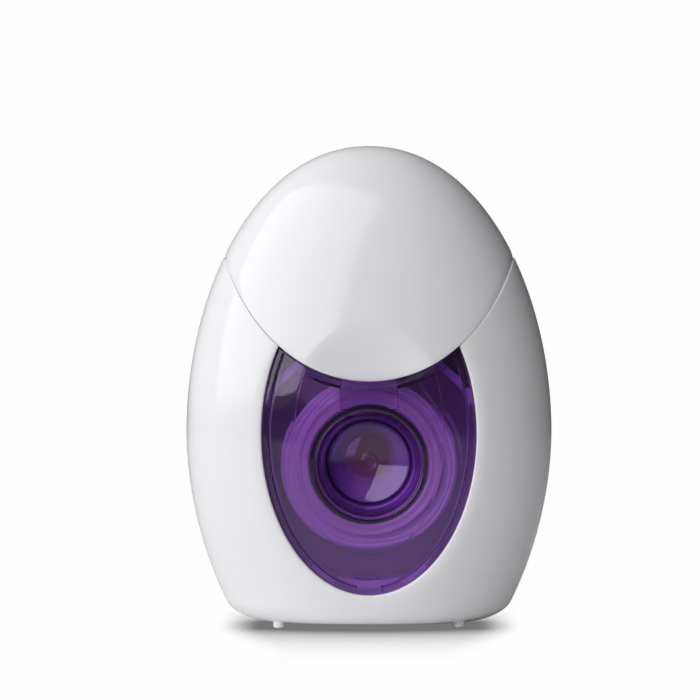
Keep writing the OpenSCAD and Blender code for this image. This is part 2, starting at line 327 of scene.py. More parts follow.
def make_lid(mats):
    f = seam_front(LID_G)
    b = seam_back(f[-1][2], 46.6 - LID_G)
    f = even(f, 236)
    f[:, 1] = front_y(f[:, 0], f[:, 2])
    b = even(b, 150)
    b[0], b[-1] = f[-1], f[0]
    edge = np.vstack([f, b[1:-1]])
    top = np.tile([0, 0, 1.0], (len(edge), 1))
    far = unit(edge - CENTRE)
    # arc length of each column, and how square it meets the edge
    probe = on_egg(slerp(top, far, np.linspace(0, 1, 60)))
    length = np.linalg.norm(np.diff(probe, axis=1), axis=2).sum(1)
    tang = unit(np.roll(edge, -1, 0) - np.roll(edge, 1, 0))
    down = unit(probe[:, -1] - probe[:, -2])
    sq = np.sqrt(np.clip(1 - (tang * down).sum(1) ** 2, 0.25, 1))
    near = np.array([1.9, 1.6, 1.35, 1.1, 0.9, 0.72, 0.56, 0.42, 0.3, 0.2, 0.12])
    rows = np.linspace(0, 1, 84)[:, None] * (1 - near[0] * 1.12 / sq / length)[None]
    rows = np.vstack([rows, 1 - near[1:, None] / sq / length])
    way = slerp(top, far, rows.T)                       # columns, rows, 3
    p = on_egg(way).transpose(1, 0, 2)                  # rows, columns, 3
    n = outward(p)
    dist = (1 - rows) * length * sq
    ease = np.clip(1 - dist / 1.6, 0, 1) ** 2.2
    p = p - n * (roll_in(p) * ease)[..., None]
    sink = dish(p)
    p = p + sink[..., None] * np.array([0, 1.0, 0])
    ne = outward(edge)
    crest = edge - ne * (roll_in(edge) + 0.012)[:, None] + \
        dish(edge)[:, None] * np.array([0, 1.0, 0])
    d = wall_way(edge)
    back = crest + d * 0.12
    fil = bend(p[-1], crest, back, 5)[1:]
    inner_edge = to_inner(edge, d, LID_WALL)
    nin = 60
    fi = unit(inner_edge - CENTRE)
    qi = on_egg(slerp(top, fi, np.linspace(0.0, 1, nin)), LID_WALL).transpose(1, 0, 2)[::-1]
    qi[0] = inner_edge
    rings = np.concatenate([p, fil, qi])
    # the tongue's rim stays behind the foremost line of the box
    most, room = 11.225, 0.055
    fore = -rings[..., 1]
    rings[..., 1] = -np.where(fore > most, most + room * (1 - np.exp(-(fore - most) / room)), fore)
    lid = solid("lid_shell", rings, skin(rings), mats)
    lid.data.name = "lid_shell"
    return lid


def ear_z():
    return seam_front(CASE_G)[-1]


def make_rear(mats):
    ear = ear_z()
    top = seam_back(ear[2], SEAM_TOP + 0.2 - CASE_G)
    top = even(top, 190)
    top[0], top[-1] = ear, ear * [-1, 1, 1]
    low = np.tile([0, 0, -1.0], (len(top), 1))
    # the columns leave the pole of the base in a half circle
    f = np.linspace(0, math.pi, len(top))
    low = unit(np.stack([np.cos(f) * 1e-3, np.sin(f) * 1e-3, -np.ones_like(f)], 1))
    far = unit(top - CENTRE)
    probe = on_egg(slerp(low, far, np.linspace(0, 1, 60)))
    length = np.linalg.norm(np.diff(probe, axis=1), axis=2).sum(1)
    rows = np.linspace(0, 1, 130)[:, None] * (1 - 0.25 / length)[None]
    rows = np.vstack([rows, 1 - 0.1 / length])
    outer = on_egg(slerp(low, far, rows.T)).transpose(1, 0, 2)
    outer[:, 0, 1] = outer[:, -1, 1] = 0
    d = wall_way(top + [0, 1e-4, 0])
    fil = bend(outer[-1], top, top + d * 0.1, 5)[1:]
    outer = np.concatenate([outer, fil])
    inner_edge = to_inner(top, d, WALL)
    fi = unit(inner_edge - CENTRE)
    rin = np.linspace(0, 1, len(outer) - 3)
    inner = on_egg(slerp(low, fi, rin), WALL).transpose(1, 0, 2)
    inner = np.concatenate([inner, np.repeat(inner_edge[None], 3, 0)])
    inner[:, 0, 1] = inner[:, -1, 1] = 0
    rings = np.concatenate([part_line(outer), inner[:, ::-1]], axis=1)
    faces = skin(rings) + zip_cap(len(rings) - 1, rings.shape[1])
    return solid("casing_rear", rings, faces, mats)


def part_line(outer):
    """Sinks the two border columns of a shell a hair, for the line where the shells meet."""
    o = outer.copy()
    n = outward(outer)
    for a, b in ((0, 1), (-1, -2)):
        step = unit(outer[:, b] - outer[:, a])
        if a == 0:
            o[:, 1] = outer[:, 0] + step * 0.11
        else:
            o[:, -2] = outer[:, -1] + step * 0.11
        o[:, a] = outer[:, a] - n[:, a] * 0.07
    return o


def make_front(mats):
    seam = seam_front(CASE_G, 1600)
    right = seam[len(seam) // 2:]
    inside = (right[:, 0] / WIN_A) ** 2 + ((right[:, 2] - WIN_Z) / WIN_B) ** 2
    k = np.argmax(inside > 1)
    c = right[k]
    t1 = math.atan2(c[0] / WIN_A, -(c[2] - WIN_Z) / WIN_B)
    ear = right[-1]
    beta1 = math.atan2(ear[2] - BELLY, ear[0])
    half = 150
    t = np.linspace(0, t1, half)
    t = t1 * (t / t1)
    x, z = WIN_A * np.sin(t), WIN_Z - WIN_B * np.cos(t)
    rim = even(np.stack([x, z], 1), half)
    t = np.arctan2(rim[:, 0] / WIN_A, -(rim[:, 1] - WIN_Z) / WIN_B)
    # each point of the window's rim is joined to one of the parting line
    knots_t = np.radians([0, 20, 45, 70, 90, 107])
    beta = np.interp(t, np.r_[knots_t, t1], np.r_[np.radians([-90, -72, -45, -19, 0, 22]), beta1])
    ker = np.hanning(31)
    pad = np.r_[2 * beta[0] - beta[15:0:-1], beta, 2 * beta[-1] - beta[-2:-17:-1]]
    beta = np.convolve(pad, ker / ker.sum(), "valid")
    beta[0], beta[-1] = -math.pi / 2, beta1
    t = np.r_[-t[:0:-1], t]
    beta = np.r_[-math.pi - beta[:0:-1], beta]
    m = len(t)
    x, z = WIN_A * np.sin(t), WIN_Z - WIN_B * np.cos(t)
    corner_pt = {}

    def sheet(e, rows, ends):
        w = np.stack([x, front_y(x, z, e), z], 1)
        if ends is not None:
            w[0], w[-1] = ends[0][0], ends[1][0]
        q = np.stack([np.cos(beta), np.zeros(m), np.sin(beta)], 1)
        q = on_egg(q, e)
        if ends is not None:
            q[0], q[-1] = ends[0][-1], ends[1][-1]
        a, b = unit(w - CENTRE), unit(q - CENTRE)
        way = slerp(a, b, rows)
        for side, col in ((0, 0), (1, -1)):
            run = ends[side]
            s = np.r_[0, np.cumsum(np.linalg.norm(np.diff(run, axis=0), axis=1))]
            s /= s[-1]
            want = unit(np.stack([np.interp(rows, s, run[:, k]) for k in range(3)], 1) - CENTRE)
            delta = want - way[col]
            u = np.arange(m) / (m - 1)
            u = u if side else 1 - u
            wgt = np.clip((u - 0.62) / 0.38, 0, 1) ** 2
            way = way + wgt[:, None, None] * delta[None]
        return way

    run_o = right[k:].copy()
    run_o[0] = [WIN_A * math.sin(t1), 0, WIN_Z - WIN_B * math.cos(t1)]
    run_o[0, 1] = front_y(run_o[0, 0], run_o[0, 2])
    mirror = np.array([-1.0, 1, 1])
    d_run = wall_way(run_o + [0, -1e-4, 0])
    run_i = to_inner(run_o, d_run, WALL)
    run_i[-1, 1] = 0
    run_i[0] = run_o[0]
    run_i[0, 1] = front_y(run_o[0, 0], run_o[0, 2], WALL)

    cnt = 58
    rows = np.r_[0, 0.25, 0.42, 0.6, 0.8, 1.0, 1.2, 1.4, np.linspace(1.62, 13.0, cnt)[0:], 13.2] / 13.2
    way = sheet(0.0, rows, (run_o * mirror, run_o))
    outer = on_egg(way)                                  # columns, rows, 3
    outer[:, -1, 1] = 0
    outer[:, 0, 0], outer[:, 0, 2] = x, z
    outer[:, 0, 1] = front_y(x, z)
    # the face turns in a little towards the window
    turn = 0.24 * np.clip(1 - rows * 13.2 / 1.5, 0, 1) ** 2
    outer[:, :, 1] += turn[None]
    edge = outer[:, 0]
    # rounded rim of the window
    f = bend(outer[:, 1], edge, edge + np.array([0, 0.28, 0]), 5)[::-1]
    outer = np.concatenate([f.transpose(1, 0, 2), outer[:, 2:]], axis=1)
    cols = outer.shape[1]
    rin = np.linspace(0, 1, cols)
    inner = on_egg(sheet(WALL, rin, (run_i * mirror, run_i)), WALL)
    inner[:, 0] = np.stack([x, front_y(x, z, WALL), z], 1)
    inner[:, -1, 1] = 0
    # the parting line
    n = outward(outer[:, -1])
    step = unit(outer[:, -2] - outer[:, -1])
    outer[:, -2] = outer[:, -1] + step * 0.11
    outer[:, -1] = outer[:, -1] - n * 0.07
    outer[:, -1, 1] = np.minimum(outer[:, -1, 1], 0)
    # the two upper edges, lightly broken
    rings = np.concatenate([outer, inner[:, ::-1]], axis=1)
    last = []
    for side, col, nxt in ((0, 0, 1), (1, -1, -2)):
        a = outer[col]
        d = wall_way(a + [0, -1e-4, 0])
        s = unit(outer[nxt] - a)
        p0, p2 = a + s * 0.12, a + d * 0.12
        p0[:, 1] = np.minimum(p0[:, 1], 0)
        fil = bend(p0, a, p2, 4)
        ring = np.concatenate([fil, np.repeat(inner[col][None], 4, 0)[:, ::-1]], axis=1)
        last.append(ring)
    rings = np.concatenate([last[0][::-1], rings[1:-1], last[1]])
    faces = skin(rings)
    nn = rings.shape[1]
    faces += zip_cap(0, nn) + zip_cap(len(rings) - 1, nn)
    return solid("casing_front", rings, faces, mats)


# ---------------------------------------------------------------- the clear window and its hub
def seam_rho(th, g):
    """Distance from the hub's axis to the lid's seam, seen from the front."""
    s, c = np.sin(th), np.cos(th)
    a2, b2, k = (SEAM_A + g) ** 2, (SEAM_B + g) ** 2, HUB_Z - SEAM_Z
    a, b, q = s * s / a2 + c * c / b2, 2 * c * k / b2, k * k / b2 - 1
    disc = b * b - 4 * a * q
    r = (-b - np.sqrt(np.maximum(disc, 0))) / (2 * a)
    return np.where((disc > 0) & (r > 0), r, 1e3)


def oval_rho(th, g):
    s, c = np.sin(th), np.cos(th)
    a2, b2, k = (WIN_A + g) ** 2, (WIN_B + g) ** 2, HUB_Z - WIN_Z
    a, b, q = s * s / a2 + c * c / b2, 2 * c * k / b2, k * k / b2 - 1
    return (-b + np.sqrt(b * b - 4 * a * q)) / (2 * a)


def flat_rho(th):
    """Where the flat inner oval runs out into the crowned face."""
    lo, hi = np.full(th.shape, 7.0), np.full(th.shape, 22.0)
    for _ in range(40):
        m = (lo + hi) / 2
        inside = front_y(m * np.sin(th), HUB_Z + m * np.cos(th), 0.35) < FLAT
        lo, hi = np.where(inside, m, lo), np.where(inside, hi, m)
    return lo


def crossing(f, g, lo, hi):
    for _ in range(60):
        m = (lo + hi) / 2
        if f(np.array([m]))[0] > g(np.array([m]))[0]:
            lo = m
        else:
            hi = m
    return (lo + hi) / 2


def make_window(mats):
    c_in = crossing(lambda t: oval_rho(t, -1.1), lambda t: seam_rho(t, 0.32), 0.2, 1.2)
    c_out = crossing(lambda t: oval_rho(t, -0.12), lambda t: seam_rho(t, 0.32), 0.2, 1.2)
    tab = math.asin(1.65 / 15.9)
    marks = np.array([0.0, 0.55 * c_in, 0.92 * c_in, c_in, c_out, c_out + 0.05, 1.2, 2.0, 2.75,
                      math.pi - tab - 0.008, math.pi - tab + 0.008, math.pi - 0.02, math.pi])
    counts = [34, 22, 8, 8, 5, 12, 40, 36, 12, 4, 8, 2]
    th = np.concatenate([np.linspace(a, b, n, endpoint=False)
                         for a, b, n in zip(marks, marks[1:], counts)])
    th = np.r_[th, math.pi, -th[:0:-1]]
    s, c = np.sin(th), np.cos(th)
    n = len(th)
    top = np.abs(th) < c_out + 1e-6

    def at(rho, y):
        return np.stack([rho * s, np.broadcast_to(y, (n,)), HUB_Z + rho * c], 1)

    def face(rho, e):
        return front_y(rho * s, HUB_Z + rho * c, e)

    def plug(rho):
        y = face(rho, 0.35)
        return (y + FLAT) / 2 + np.sqrt(((y - FLAT) / 2) ** 2 + 0.035 ** 2)

    rows = []

    def add(rho, y):
        rows.append(at(np.broadcast_to(rho, (n,)).astype(float), y))

    # hub: gate mark, dish, cone and lip
    def dish_y(r):
        y = -12.95 + math.sqrt(10.65 ** 2 - r * r)
        y -= 0.10 * (1 - float(smooth(0.2, 0.36, r)))
        return y - 0.055 * math.exp(-((r - 1.0) / 0.075) ** 2)
    for r in [0, 0.1, 0.19, 0.24, 0.29, 0.34, 0.4, 0.55, 0.75, 0.86, 0.92, 0.96, 1.0, 1.04,
              1.08, 1.14, 1.25, 1.45, 1.7] + [2.0 + 0.25 * k for k in range(12)]:
        add(r, dish_y(r))

    def corner2(p0, p1, p2, k):
        for t in np.linspace(0, 1, k):
            q = [(1 - t) ** 2 * a + 2 * t * (1 - t) * b + t * t * d for a, b, d in zip(p0, p1, p2)]
            add(q[0], q[1])
    foot, mouth = np.array([CUP_1, dish_y(CUP_1)]), np.array([CUP_0, FLAT])
    cone = math.hypot(*(mouth - foot))
    slope = (mouth - foot) / cone
    corner2((CUP_1 - 0.33, dish_y(CUP_1 - 0.33)), foot, foot + slope * 0.4, 6)
    for k in np.linspace(0.4, cone - 0.12, 27)[1:-1]:
        q = foot + slope * k
        add(q[0], q[1])
    corner2(mouth - slope * 0.12, mouth, (CUP_0 + 0.14, FLAT), 6)
    add(POST_R - 0.3, FLAT)
    add(7.72, FLAT)

    g = np.minimum(oval_rho(th, -1.1), seam_rho(th, 0.32))
    h = np.minimum(oval_rho(th, -0.12), seam_rho(th, 0.32) + 0.03)
    fl = np.clip(flat_rho(th), 8.2, g - 0.5)
    for k in np.linspace(0, 1, 9)[1:-1]:
        rho = 7.72 + (fl - 0.25 - 7.72) * k
        add(rho, plug(rho))
    for k in (-0.25, -0.16, -0.11, -0.07, -0.03, 0.0, 0.03, 0.07, 0.11, 0.16, 0.25):
        rho = fl + k * np.minimum(1, (g - fl - 0.2) / 0.4)
        add(rho, plug(rho) + 0.02 * math.exp(-(k / 0.07) ** 2))
    slot_side = 1 - smooth(0.118, 0.128, math.pi - np.abs(th))
    for f in (0.12, 0.22, 0.32, 0.42, 0.52, 0.62, 0.69, 0.718, 0.728, 0.738, 0.77, 0.80, 0.812,
              0.822, 0.85, 0.9, 0.95):
        rho = fl + 0.25 * np.minimum(1, (g - fl - 0.2) / 0.4) + \
            (g - 0.13 - fl - 0.25 * np.minimum(1, (g - fl - 0.2) / 0.4)) * f
        deep = 0.45 * float(smooth(0.718, 0.730, f) * (1 - smooth(0.810, 0.822, f)))
        add(rho, plug(rho) + deep * slot_side)
    # the step of the rim, with the snap tab flush at its foot
    in_tab = 1 - smooth(tab - 0.006, tab + 0.006, math.pi - np.abs(th))
    low = 0.75 - 0.40 * in_tab
    rim = np.array([face(h, 0.75), face(h, 0.35)])
    for p in bend(at(g - 0.13, plug(g - 0.13))[None], at(g, plug(g))[None],
                  at(g, plug(g) + 0.13)[None], 4).reshape(4, n, 3)[0:]:
        # on the tab the face runs straight on
        p[:, 1] = p[:, 1] * (1 - in_tab) + in_tab * plug(np.hypot(p[:, 0], p[:, 2] - HUB_Z))
        rows.append(p)

    def band(rho):
        return face(rho, 0.75) * (1 - in_tab) + face(rho, 0.35) * in_tab
    # a groove runs along the foot of the step
    w = h - g
    for k, q in ((0.004, 0.0), (0.03, 0.2), (0.08, 0.3), (0.13, 0.3), (0.18, 0.2), (0.22, 0.03)):
        add(g + k * w, band(g + k * w) + q * (1 - in_tab))
    for k in (0.3, 0.6):
        add(g + k * w, band(g + k * w))
    for p in bend(at(h - np.minimum(0.14, 0.4 * w), band(h - np.minimum(0.14, 0.4 * w)))[None],
                  at(h, band(h))[None], at(h, band(h) + 0.14)[None], 4).reshape(4, n, 3):
        rows.append(p)
    # behind the casing: a flange along the rim, a shoulder under the lid
    ea = np.where(top, 2.3, 1.6)
    ec = np.where(top, 3.5, 2.6)

    def face_e(rho, e):
        out = np.empty(n)
        for v in np.unique(e):
            k = e == v
            out[k] = front_y(rho[k] * s[k], HUB_Z + rho[k] * c[k], v)
        return out
    side_x, side_z = 14.6, 44.3
    a_side = math.atan2(side_x, side_z - HUB_Z)
    cor = np.array([math.sin(c_out), math.cos(c_out)]) * float(
        np.minimum(oval_rho(np.array([c_out]), 0.9), 1e3)[0])
    e0 = np.array([side_x, side_z - HUB_Z])
    dvec = cor - e0
    # a ray's distance to the shoulder's side edge
    den = s * dvec[1] - c * dvec[0]
    ray = (np.abs(e0[0]) * dvec[1] - e0[1] * dvec[0]) / np.where(
        np.abs(np.abs(s) * dvec[1] - c * dvec[0]) < 1e-9, 1e9, np.abs(s) * dvec[1] - c * dvec[0])
    shoulder = np.where(np.abs(th) <= a_side, (side_z - HUB_Z) / np.maximum(c, 0.1), ray)
    k_out = np.where(top, np.maximum(shoulder, h + 0.4), oval_rho(th, 1.5))
    add(h, face_e(h, ea) - 0.06)
    for k in (0.03, 0.1, 0.2, 0.32, 0.45, 0.58, 0.7, 0.82, 0.92, 0.985):
        rho = h + (k_out - h) * k
        add(rho, face_e(rho, ea))
    add(k_out, face_e(k_out, ea) + 0.1)
    add(k_out, face_e(k_out, ec) - 0.1)
    back = np.minimum(oval_rho(th, 0.4), seam_rho(th, 1.4))
    back = np.minimum(back, k_out - 0.2)
    for k in (0.985, 0.9, 0.75, 0.6, 0.45, 0.3, 0.15, 0.03):
        rho = back + (k_out - back) * k
        add(rho, face_e(rho, ec))
    add(back, front_y(back * s, HUB_Z + back * c, 2.6))
    for k in np.linspace(1, 0, 24)[1:]:
        rho = POST_R + 0.35 + (back - POST_R - 0.35) * k
        add(rho, front_y(rho * s, HUB_Z + rho * c, 2.6))
    base = rows[-1][:, 1]
    add(POST_R + 0.06, base + 0.07)
    add(POST_R, base + 0.35)
    for y in np.r_[np.linspace(-8.6, 5.7, 12)]:
        add(POST_R, y)
    corner2((POST_R, 5.75), (POST_R, 5.9), (POST_R - 0.15, 5.9), 4)
    corner2((BORE_R + 0.15, 5.9), (BORE_R, 5.9), (BORE_R, 5.75), 4)
    for y in (4, 2, 0.5):
        add(BORE_R, y)
    corner2((BORE_R, -0.6), (BORE_R, -0.9), (BORE_R - 0.3, -0.9), 4)
    for r in (4.5, 3, 1.5, 0.6, 0):
        add(r, -0.9)
    rings = np.array(rows)
    o = solid("window_moulding", rings, skin(rings), mats, 30)
    # the rib up from the hub, behind the face
    ribs = []
    for y1, z1 in ((-8.0, HUB_Z + 11.1), (-8.7, HUB_Z + 19.5)):
        y0 = -9.6
        ribs.append(prism("rib", [(y0, HUB_Z + 6.9), (y1, HUB_Z + 6.9), (y1, z1), (y0 + 0.5, z1)],
                          -3.6, 3.6, bevel=0.12))
    boolean(o, ribs, "UNION", 30)
    return o


# ---------------------------------------------------------------- feet and hinge
def peg(sx, sy):
    """A foot peg with a rounded end."""
    arc = [(0.26 * (1 - math.sin(a)), 0.49 + 0.26 * math.cos(a))
           for a in np.radians([90, 72, 54, 36, 18, 0])]
    return turned("peg", [(0, 0), (0, 0.25)] + arc + [(1.0, 0.75), (1.9, 0.75), (1.9, 0)], 40, "z",
                  (sx * 11.3, sy * 5.0, 0))


def rod(r, x0, x1, ease=0.12):
    """A round bar along the hinge axis with rounded ends."""
    k = ease * 0.29
    return turned("rod", [(x0, 0), (x0, r - ease), (x0 + k, r - k), (x0 + ease, r), (x1 - ease, r),
                          (x1 - k, r - k), (x1, r - ease), (x1, 0)], 64, "x",
                  (0, HINGE_Y, HINGE_Z))


def bar(r, x0, x1):
    return turned("bar", [(x0, 0), (x0, r), (x1, r), (x1, 0)], 64, "x", (0, HINGE_Y, HINGE_Z))


def web(points, x0, x1):
    return prism("web", [(HINGE_Y + a, HINGE_Z + b) for a, b in points], x0, x1)


def finish_rear(o):
    adds = [peg(s, 1) for s in (-1, 1)]
    for a, b in ((-7.0, -4.0), (4.0, 7.0)):
        adds += [rod(1.4, a, b), web([(-1.1, -0.8), (1.385, 0), (0.95, -3.4), (-0.5, -3.4)],
                                     a + 0.04, b - 0.04)]
    boolean(o, adds, "UNION")
    boolean(o, [bar(1.6, -4.0, 4.0), bar(0.6, -8.0, 8.0)], "DIFFERENCE")
    # close the hair of a slit at the pole of the base
    bm = bmesh.new()
    bm.from_mesh(o.data)
    bmesh.ops.holes_fill(bm, edges=[e for e in bm.edges if e.is_boundary], sides=0)
    bm.to_mesh(o.data)
    bm.free()
    return o


def finish_front(o):
    boolean(o, [peg(s, -1) for s in (-1, 1)], "UNION")
    return o


def finish_lid(o):
    boolean(o, [rod(1.4, -3.85, 3.85), web([(-1.1, 0.2), (-1.6, 3.2), (-0.9, 3.2), (1.385, 0)],
                                           -3.81, 3.81)], "UNION")
    boolean(o, [bar(1.6, -7.15, -3.85), bar(1.6, 3.85, 7.15), bar(0.65, -4.85, 4.85)], "DIFFERENCE")
    return o


def make_pin(mats):
    return turned("hinge_pin", [(-6.8, 0), (-6.8, 0.42), (-6.74, 0.52), (-6.6, 0.6), (6.6, 0.6),
                                (6.74, 0.52), (6.8, 0.42), (6.8, 0)], 48, "x",
                  (0, HINGE_Y, HINGE_Z), mats)


# ---------------------------------------------------------------- the bobbin
def make_core(mats):
    """The tube, with broken edges and a shallow band round each end."""
    r0, r1, a, b = POST_R + 0.06, 9.2, -6.9, 5.9
    prof = [(a, r0 + 0.2), (a + 0.06, r0 + 0.06), (a + 0.2, r0)]
    prof += [(y, r0) for y in (-4, -1, 2, 4.5)]
    prof += [(b - 0.2, r0), (b - 0.06, r0 + 0.06), (b, r0 + 0.2), (b, r0 + 0.7), (b - 0.12, r0 + 0.8),
             (b - 0.12, r1 - 0.5), (b, r1 - 0.4), (b, r1 - 0.12), (b - 0.12, r1)]
    prof += [(y, r1) for y in (4.5, 2, -1, -4)]
    prof += [(a + 0.12, r1), (a, r1 - 0.12), (a, r1 - 0.4), (a + 0.12, r1 - 0.5),
             (a + 0.12, r0 + 0.8), (a, r0 + 0.7)]
    prof.append(prof[0])
    return turned("bobbin_tube", prof, 144, "y", (0, 0, HUB_Z), mats)


def make_winding(mats):
    """Turns of floss laid side by side, a little uneven, in a ring with soft corners."""
    n, r0, r1, y0, y1, pitch = 300, 9.2, 11.0, -6.4, 5.4, 0.59
    flank = np.linspace(r0, r1 - 0.45, 26)
    arc = np.radians(np.linspace(0, 90, 9))[1:-1]
    face = np.linspace(y0 + 0.45, y1 - 0.45, 150)
    run = [(y0, r) for r in flank]
    run += [(y0 + 0.45 - 0.45 * math.cos(a), r1 - 0.45 + 0.45 * math.sin(a)) for a in arc]
    run += [(y, r1) for y in face]
    run += [(y1 - 0.45 + 0.45 * math.sin(a), r1 - 0.45 + 0.45 * math.cos(a)) for a in arc]
    run += [(y1, r) for r in flank[::-1]]
    run = np.array(run)
    tang = np.gradient(run, axis=0)
    nrm = unit(np.stack([-tang[:, 1], tang[:, 0]], 1))
    nrm *= np.sign((nrm * (run - [(y0 + y1) / 2, r0])).sum(1))[:, None]
    along = np.r_[0, np.cumsum(np.linalg.norm(np.diff(run, axis=0), axis=1))]
    f = np.linspace(0, 2 * math.pi, n, endpoint=False)
    s, g = np.meshgrid(along, f, indexing="ij")
    sway = 0.10 * np.sin(3 * g + 0.9 * s) + 0.06 * np.sin(7 * g - 1.7 * s + 1.0)
    # the lay crosses over once a turn, over a short arc
    cross = smooth(1.9, 2.5, g)
    phase = (s + sway) / pitch + cross
    ridge = np.sqrt(np.clip(1 - (2 * (phase % 1) - 1) ** 2, 0, 1))
    deep = 0.03 + 0.17 * (1 - ridge) + 0.05 * (1 + np.sin(2 * g + 0.6 * s)) / 2
    ends = np.minimum(np.arange(len(run)), np.arange(len(run))[::-1])
    deep = deep * np.clip(ends / 2.0, 0, 1)[:, None]
    p = run[:, None, :] - nrm[:, None, :] * deep[..., None]
    y, r = p[..., 0], p[..., 1]
    pts = np.stack([r * np.cos(g), y, HUB_Z + r * np.sin(g)], -1)
    inner = np.linspace(y1, y0, 14)[1:-1]
    ring = np.stack([np.stack([r0 * np.cos(f), np.full(n, v), HUB_Z + r0 * np.sin(f)], 1)
                     for v in inner])
    pts = np.concatenate([pts, ring, pts[:1]])
    return solid("wound_floss", pts, skin(pts), mats, 60)


def sweep(name, line, radius, n, mats, lobes=0, lay=1.6, deep=0.0, side=(0, 1.0, 0)):
    """A round strand along a line, with twisted plies if it has lobes."""
    line = np.asarray(line, float)
    t = unit(np.gradient(line, axis=0))
    v = unit(np.asarray(side) - t * (t @ np.asarray(side))[:, None])
    u = np.cross(t, v)
    s = np.r_[0, np.cumsum(np.linalg.norm(np.diff(line, axis=0), axis=1))]
    f = np.linspace(0, 2 * math.pi, n, endpoint=False)
    rad = np.full((len(line), n), radius)
    if lobes:
        w = f[None] * lobes - 2 * math.pi * s[:, None] / lay
        rad = radius - deep * (1 - np.abs(np.cos(w / 2)))
    end = np.minimum(s, s[-1] - s)
    rad = rad * np.sqrt(np.clip(1 - (1 - np.clip(end / radius, 0, 1)) ** 2, 0.0, 1))[:, None]
    rings = line[:, None] + rad[..., None] * (v[:, None] * np.cos(f)[None, :, None] +
                                              u[:, None] * np.sin(f)[None, :, None])
    return solid(name, rings, skin(rings), mats, 50)


def make_lead(mats):
    """The free end: off the winding, up through the outlet and over to the cutter."""
    y, rw, off = -1.0, 11.35, 57
    a = np.radians(np.arange(off + 36, off - 1, -9))
    pts = [(rw * math.sin(v), y, HUB_Z + rw * math.cos(v)) for v in a]
    pts += [(6.4, y, 31.6), (3.3, y, 36.3), (2.3, y, 37.9), (1.3, y, 40), (0.5, y, 42.5),
            (0, y, 44.6), (0, y, 46.3), (0.15, y, 47.1), (0.7, y, 47.55), (1.5, y, 47.5),
            (2.6, y, 47.2), (4.4, y, 46.8), (5.2, y - 0.2, 46.45), (6.6, y - 0.6, 46.3),
            (8.2, y - 0.9, 46.2)]
    p = np.array(pts)
    # a smooth curve through the points
    k = np.r_[0, np.cumsum(np.sqrt(np.linalg.norm(np.diff(p, axis=0), axis=1)))]
    q = np.vstack([2 * p[0] - p[1], p, 2 * p[-1] - p[-2]])
    kk = np.r_[2 * k[0] - k[1], k, 2 * k[-1] - k[-2]]
    out = []
    for i in range(1, len(q) - 2):
        t = np.linspace(kk[i], kk[i + 1], 24, endpoint=False)[:, None]
        a1 = (kk[i] - t) / (kk[i] - kk[i - 1]) * q[i - 1] + (t - kk[i - 1]) / (kk[i] - kk[i - 1]) * q[i]
        a2 = (kk[i + 1] - t) / (kk[i + 1] - kk[i]) * q[i] + (t - kk[i]) / (kk[i + 1] - kk[i]) * q[i + 1]
        a3 = (kk[i + 2] - t) / (kk[i + 2] - kk[i + 1]) * q[i + 1] + \
            (t - kk[i + 1]) / (kk[i + 2] - kk[i + 1]) * q[i + 2]
        b1 = (kk[i + 1] - t) / (kk[i + 1] - kk[i - 1]) * a1 + (t - kk[i - 1]) / (kk[i + 1] - kk[i - 1]) * a2
        b2 = (kk[i + 2] - t) / (kk[i + 2] - kk[i]) * a2 + (t - kk[i]) / (kk[i + 2] - kk[i]) * a3
        out.append((kk[i + 1] - t) / (kk[i + 1] - kk[i]) * b1 + (t - kk[i]) / (kk[i + 1] - kk[i]) * b2)
    line = even(np.vstack(out + [p[-1:]]), 420)
    return sweep("floss_strand", line, 0.29, 24, mats, lobes=3, lay=1.9, deep=0.07)


# ---------------------------------------------------------------- the deck and the cutter
def make_deck(mats):
    """The plate under the lid, with the cone of the floss outlet drawn up out of it."""
    n = 360
    f = np.linspace(0, 2 * math.pi, n, endpoint=False)
    cx, cy, z0, z1 = 0.0, -1.0, 44.3, 45.6

    def rim(inset, z):
        """The plate's outline at a height, as seen from the outlet."""
        lo, hi = np.zeros(n), np.full(n, 30.0)
        for _ in range(44):
            m = (lo + hi) / 2
            x, y = cx + m * np.cos(f), cy + m * np.sin(f)
            e = 2.3 - 0.65 * smooth(0.0, 1.2, y) + inset
            w, d = half_w(z, 0) - e, half_d(z, 0) - e
            inside = np.abs(x / w) ** POW + np.abs(y / d) ** POW < 1
            lo, hi = np.where(inside, m, lo), np.where(inside, hi, m)
        return lo
    rows = []

    def add(r, z):
        r = np.broadcast_to(r, (n,)).astype(float)
        rows.append(np.stack([cx + r * np.cos(f), cy + r * np.sin(f), np.full(n, z)], 1))
    # outlet: bore with flared ends, lip, cone and fillet
    for r, z in ((0.80, z0), (0.70, z0 + 0.05), (0.65, z0 + 0.2), (0.65, 45.5), (0.65, 46.5),
                 (0.68, 46.7), (0.76, 46.81), (0.9, 46.85), (1.15, 46.85), (1.30, 46.81),
                 (1.38, 46.7), (1.43, 46.55), (1.6, 46.2), (1.74, 45.9), (1.82, 45.75),
                 (1.95, 45.65), (2.15, z1)):
        add(r, z)
    top = rim(0.0, z1)
    for k in (0.06, 0.15, 0.27, 0.4, 0.55, 0.7, 0.84, 0.93):
        add(2.15 + (top - 0.2 - 2.15) * k, z1)
    add(top - 0.2, z1)
    add(top - 0.06, z1 - 0.06)
    add(rim(0.0, z1 - 0.2), z1 - 0.2)
    add(rim(0.0, 45.0), 45.0)
    low = rim(0.0, z0 + 0.1)
    add(low, z0 + 0.1)
    add(low - 0.1, z0)
    for k in (0.8, 0.6, 0.4, 0.2, 0.08):
        add(0.8 + (low - 0.1 - 0.8) * k, z0)
    rows.append(rows[0])
    rings = np.array(rows)
    o = solid("deck_plate", rings, skin(rings), mats)
    slots = []
    for y in (-3.45, 1.15):
        slots.append(prism("slot", [(y, 43.0), (y + 0.5, 43.0), (y + 0.5, 47.0), (y, 47.0)], 3.5, 7.1))
    boolean(o, slots, "DIFFERENCE")
    return o


